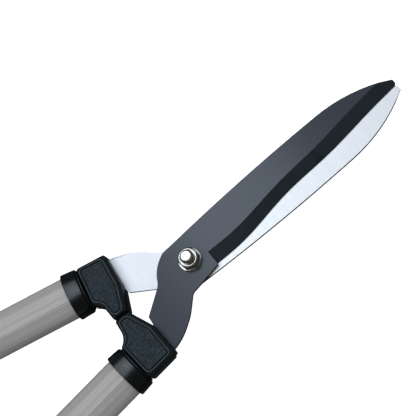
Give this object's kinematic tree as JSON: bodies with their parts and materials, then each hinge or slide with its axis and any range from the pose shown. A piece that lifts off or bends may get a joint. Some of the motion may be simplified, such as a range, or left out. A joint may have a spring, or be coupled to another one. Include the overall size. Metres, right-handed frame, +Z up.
{
  "type": "hedge shears",
  "caption": "Two-handed hedge shears with wavy bevelled blades on a capped pivot, moulded casings, oval tube handles and soft grips; opens about the pivot.",
  "frame": {"origin": "on the pivot axis, in the flat lower face of the pivot bolt's head", "axes": "+Y towards the blade tips, +X towards the right handle, which carries the top blade, +Z up the pivot axis towards the cap nut; shears closed"},
  "size_m": [0.2197, 0.6108, 0.04],
  "materials": {
    "blade_coating": "dark blue-grey non-stick coating, ground bright on the inner face",
    "plated_steel": "bright plated",
    "bush_bronze": "sintered bronze",
    "casing_nylon": "black moulded nylon with a pebble texture",
    "collar_plastic": "smooth semi-gloss black",
    "tube_paint": "satin grey paint on aluminium tube",
    "grip_rubber": "matt black soft grip",
    "bumper_rubber": "matt black",
    "screw_zinc": "zinc plated"
  },
  "bodies": {
    "left_half": {"bottom_blade": "blade_coating", "pivot_bolt": "plated_steel", "pivot_washer": "plated_steel", "cap_nut": "plated_steel", "left_casing_top": "casing_nylon", "left_casing_bottom": "casing_nylon", "left_nose_bumper": "bumper_rubber", "left_nose_screw": "screw_zinc", "left_plug_screw": "screw_zinc", "left_tang_inner_screw": "screw_zinc", "left_tang_outer_screw": "screw_zinc", "left_tube_plug": "casing_nylon", "left_tube_pin": "screw_zinc", "left_collar": "collar_plastic", "left_tube": "tube_paint", "left_grip": "grip_rubber", "left_end_cap": "casing_nylon"},
    "right_half": {"top_blade": "blade_coating", "pivot_bush": "bush_bronze", "right_casing_top": "casing_nylon", "right_casing_bottom": "casing_nylon", "right_nose_bumper": "bumper_rubber", "right_nose_screw": "screw_zinc", "right_plug_screw": "screw_zinc", "right_tang_inner_screw": "screw_zinc", "right_tang_outer_screw": "screw_zinc", "right_tube_plug": "casing_nylon", "right_tube_pin": "screw_zinc", "right_collar": "collar_plastic", "right_tube": "tube_paint", "right_grip": "grip_rubber", "right_end_cap": "casing_nylon"}
  },
  "joints": [
    {"name": "pivot", "type": "hinge", "parent": "left_half", "child": "right_half", "pos_m": [0, 0, 0.0075], "axis": [0, 0, 1], "range_deg": [0, 75]}
  ]
}
